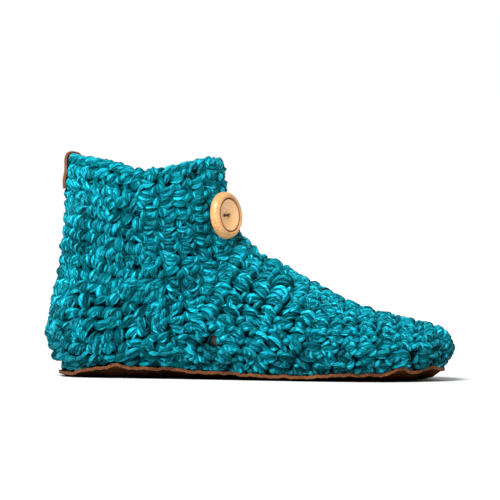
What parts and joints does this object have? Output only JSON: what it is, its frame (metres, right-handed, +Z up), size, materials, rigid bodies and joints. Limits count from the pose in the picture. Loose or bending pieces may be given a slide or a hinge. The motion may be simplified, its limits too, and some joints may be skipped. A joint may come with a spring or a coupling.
{
  "type": "crocheted ankle slipper",
  "caption": "Ankle-high crocheted wool slipper on a thin leather sole, with a felt insole, a wooden side button and a leather tab folded over the heel.",
  "frame": {"origin": "middle of the bounding box, on the floor under the sole", "axes": "+X towards the toe, -Y towards the outer side of the foot with the button, +Z up"},
  "size_m": [0.2598, 0.1016, 0.1434],
  "materials": {
    "wool": "chunky crochet in matt teal wool and shiny turquoise yarn",
    "leather": "brown suede-faced leather with a cut edge",
    "felt": "brown-grey wool felt",
    "wood": "turned, lightly oiled pale wood with a burnt ring",
    "thread": "brown sewing thread"
  },
  "bodies": {
    "root": {"upper": "wool", "sole": "leather", "insole": "felt", "heel_tab": "leather", "button": "wood", "button_thread": "thread"}
  },
  "joints": []
}
